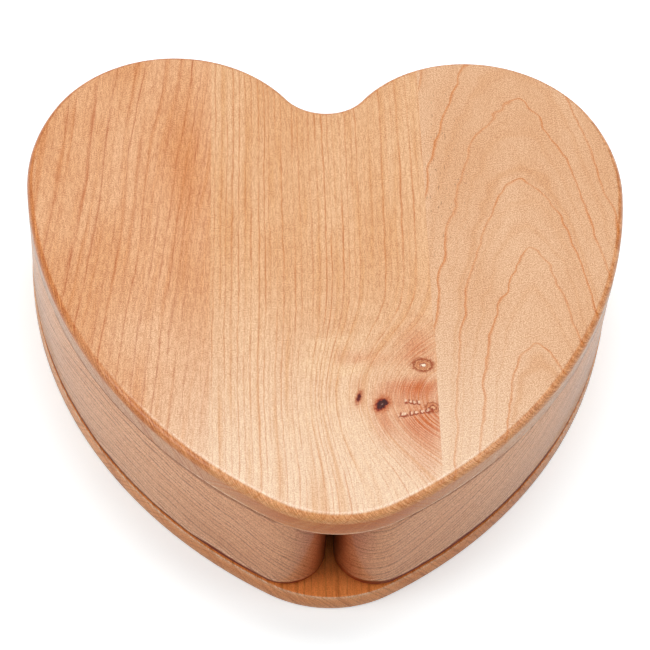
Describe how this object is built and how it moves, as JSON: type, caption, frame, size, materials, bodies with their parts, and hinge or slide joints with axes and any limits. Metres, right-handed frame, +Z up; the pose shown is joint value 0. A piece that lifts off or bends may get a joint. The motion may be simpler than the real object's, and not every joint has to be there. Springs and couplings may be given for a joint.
{
  "type": "keepsake box",
  "caption": "Heart-shaped wooden keepsake box with a fixed round-edged lid and half-heart drawers that swing out sideways on pivot pins, pulled at a finger gap by the tip.",
  "frame": {"origin": "centre of the outline's length and width, on the underside of the base", "axes": "+Z up; +X to the right, across the heart; the heart's tip points to -Y and its cleft to +Y"},
  "size_m": [0.21, 0.2032, 0.0529],
  "materials": {
    "lid_wood_left": "satin clear lacquer",
    "lid_wood_middle": "satin clear lacquer",
    "lid_wood_right": "satin clear lacquer",
    "base_wood": "satin clear lacquer",
    "block_wood": "satin clear lacquer",
    "drawer_wood": "satin clear lacquer",
    "dowel_wood": "bare",
    "liner_felt": "felt",
    "pin_steel": "ground",
    "screw_steel": "zinc plated",
    "washer_nylon": "matte"
  },
  "bodies": {
    "case": {"lid_stave_left": "lid_wood_left", "lid_stave_middle": "lid_wood_middle", "lid_stave_right": "lid_wood_right", "base_stave_left": "base_wood", "base_stave_middle": "base_wood", "base_stave_right": "base_wood", "centre_block": "block_wood", "pivot_pin_left": "pin_steel", "pivot_pin_right": "pin_steel", "lower_washer_left": "washer_nylon", "lower_washer_right": "washer_nylon", "upper_washer_left": "washer_nylon", "upper_washer_right": "washer_nylon", "block_screw_front": "screw_steel", "block_screw_back": "screw_steel", "lid_dowel_front": "dowel_wood", "lid_dowel_back": "dowel_wood"},
    "left_drawer": {"drawer_left": "drawer_wood", "felt_liner_left": "liner_felt"},
    "right_drawer": {"drawer_right": "drawer_wood", "felt_liner_right": "liner_felt"}
  },
  "joints": [
    {"name": "left_drawer_swing", "type": "hinge", "parent": "case", "child": "left_drawer", "pos_m": [-0.05307, 0.0856, 0.02575], "axis": [0, 0, -1], "range_deg": [0, 90]},
    {"name": "right_drawer_swing", "type": "hinge", "parent": "case", "child": "right_drawer", "pos_m": [0.05307, 0.0856, 0.02575], "axis": [0, 0, 1], "range_deg": [0, 90]}
  ]
}
